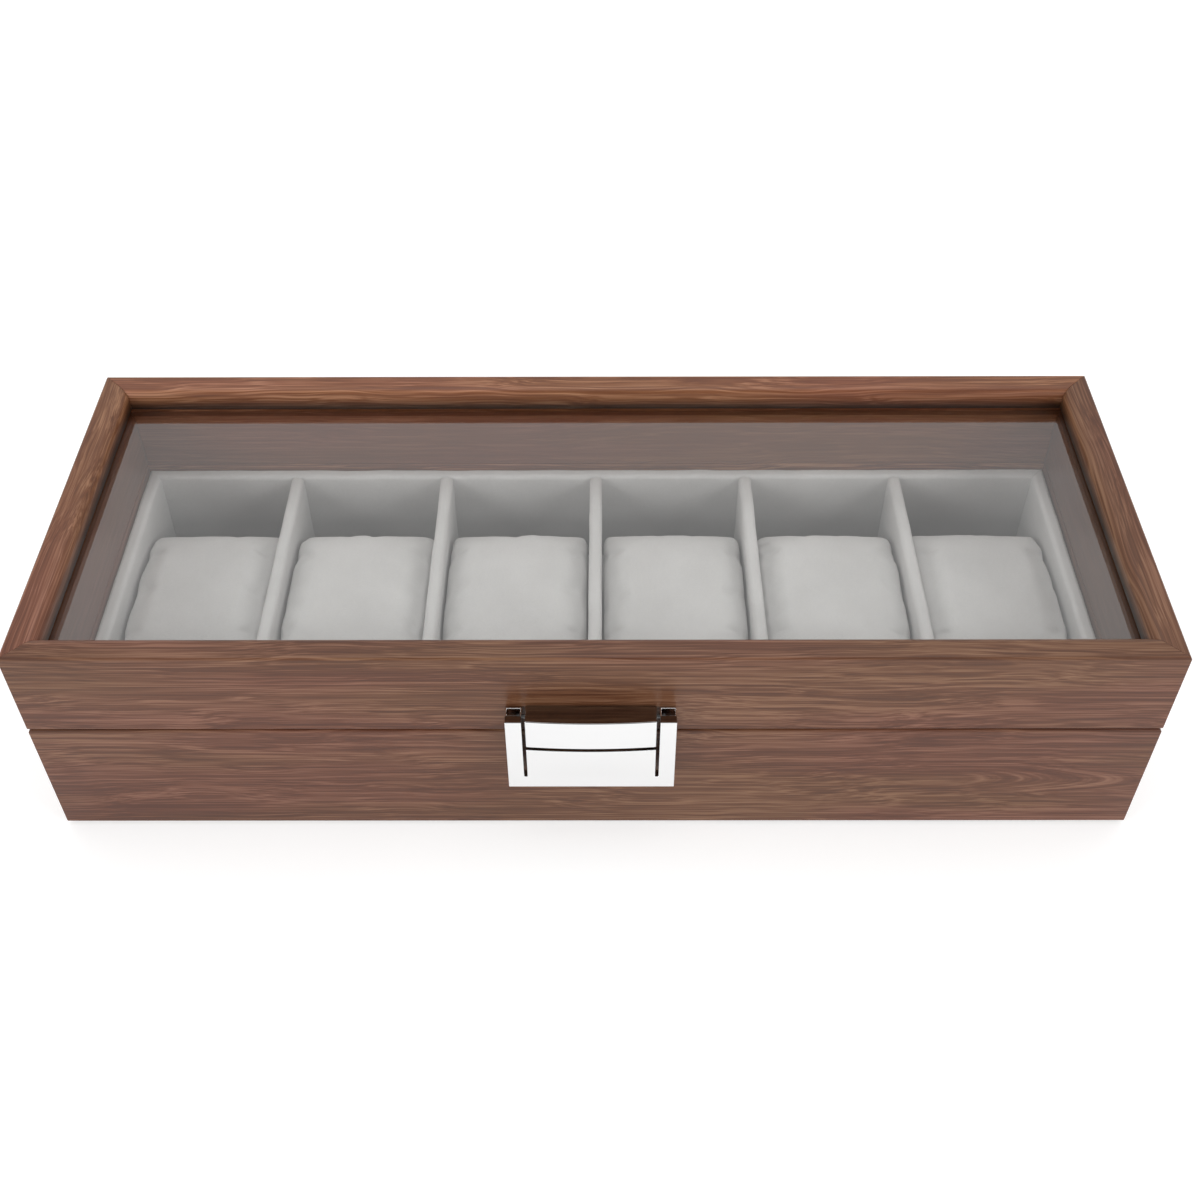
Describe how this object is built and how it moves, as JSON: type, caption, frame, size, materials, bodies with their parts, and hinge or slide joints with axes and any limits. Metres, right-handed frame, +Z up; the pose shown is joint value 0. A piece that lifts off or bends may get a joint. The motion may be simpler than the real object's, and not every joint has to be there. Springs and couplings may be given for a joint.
{
  "type": "watch box",
  "caption": "Long low box with a glass-topped hinged lid, a front flip clasp, and a lined tray of single-row compartments, each holding a lift-out pillow for a watch.",
  "frame": {"origin": "centre of the underside, on the surface that the box stands on", "axes": "+X to the right along the row of compartments, +Y from the clasp to the hinges, +Z up"},
  "size_m": [0.3, 0.128, 0.07],
  "materials": {
    "walnut": "walnut-look foil over board, grain along each board, satin",
    "velvet": "pale grey short-pile velvet",
    "felt": "thin black self-adhesive felt",
    "glass": "clear float glass",
    "chrome": "polished chrome plate over die-cast zinc",
    "nickel": "nickel-plated steel sheet",
    "steel": "plain zinc-plated steel"
  },
  "bodies": {
    "base": {"base_front_wall": "walnut", "base_right_wall": "walnut", "base_back_wall": "walnut", "base_left_wall": "walnut", "base_bottom_panel": "walnut", "base_felt_pad": "felt", "tray_floor": "velvet", "tray_front_wall": "velvet", "tray_right_wall": "velvet", "tray_back_wall": "velvet", "tray_left_wall": "velvet", "tray_divider_1": "velvet", "tray_divider_2": "velvet", "tray_divider_3": "velvet", "tray_divider_4": "velvet", "tray_divider_5": "velvet", "hinge_left_base_leaf": "nickel", "hinge_left_pin": "steel", "hinge_left_base_screw_1": "steel", "hinge_left_base_screw_2": "steel", "hinge_right_base_leaf": "nickel", "hinge_right_pin": "steel", "hinge_right_base_screw_1": "steel", "hinge_right_base_screw_2": "steel", "clasp_catch": "nickel", "clasp_catch_screw_1": "steel", "clasp_catch_screw_2": "steel"},
    "lid": {"lid_front_rail": "walnut", "lid_right_rail": "walnut", "lid_back_rail": "walnut", "lid_left_rail": "walnut", "lid_front_liner": "walnut", "lid_right_liner": "walnut", "lid_back_liner": "walnut", "lid_left_liner": "walnut", "lid_glass": "glass", "hinge_left_lid_leaf": "nickel", "hinge_left_lid_screw_1": "steel", "hinge_left_lid_screw_2": "steel", "hinge_right_lid_leaf": "nickel", "hinge_right_lid_screw_1": "steel", "hinge_right_lid_screw_2": "steel", "clasp_nose": "chrome", "clasp_pin": "steel", "clasp_nose_screw_1": "steel", "clasp_nose_screw_2": "steel"},
    "clasp_flap": {"clasp_flap": "chrome"},
    "pillow_1": {"pillow_1": "velvet"},
    "pillow_2": {"pillow_2": "velvet"},
    "pillow_3": {"pillow_3": "velvet"},
    "pillow_4": {"pillow_4": "velvet"},
    "pillow_5": {"pillow_5": "velvet"},
    "pillow_6": {"pillow_6": "velvet"}
  },
  "joints": [
    {"name": "lid_hinge", "type": "hinge", "parent": "base", "child": "lid", "pos_m": [0, 0.0608, 0.0418], "axis": [-1, 0, 0], "range_deg": [0, 100]},
    {"name": "clasp_flip", "type": "hinge", "parent": "lid", "child": "clasp_flap", "pos_m": [-0.0009, -0.0611, 0.0508], "axis": [-1, 0, 0], "range_deg": [0, 100]},
    {"name": "pillow_1_lift", "type": "slide", "parent": "base", "child": "pillow_1", "axis": [0, 0, 1], "range_m": [0, 0.022]},
    {"name": "pillow_2_lift", "type": "slide", "parent": "base", "child": "pillow_2", "axis": [0, 0, 1], "range_m": [0, 0.022]},
    {"name": "pillow_3_lift", "type": "slide", "parent": "base", "child": "pillow_3", "axis": [0, 0, 1], "range_m": [0, 0.022]},
    {"name": "pillow_4_lift", "type": "slide", "parent": "base", "child": "pillow_4", "axis": [0, 0, 1], "range_m": [0, 0.022]},
    {"name": "pillow_5_lift", "type": "slide", "parent": "base", "child": "pillow_5", "axis": [0, 0, 1], "range_m": [0, 0.022]},
    {"name": "pillow_6_lift", "type": "slide", "parent": "base", "child": "pillow_6", "axis": [0, 0, 1], "range_m": [0, 0.022]}
  ]
}
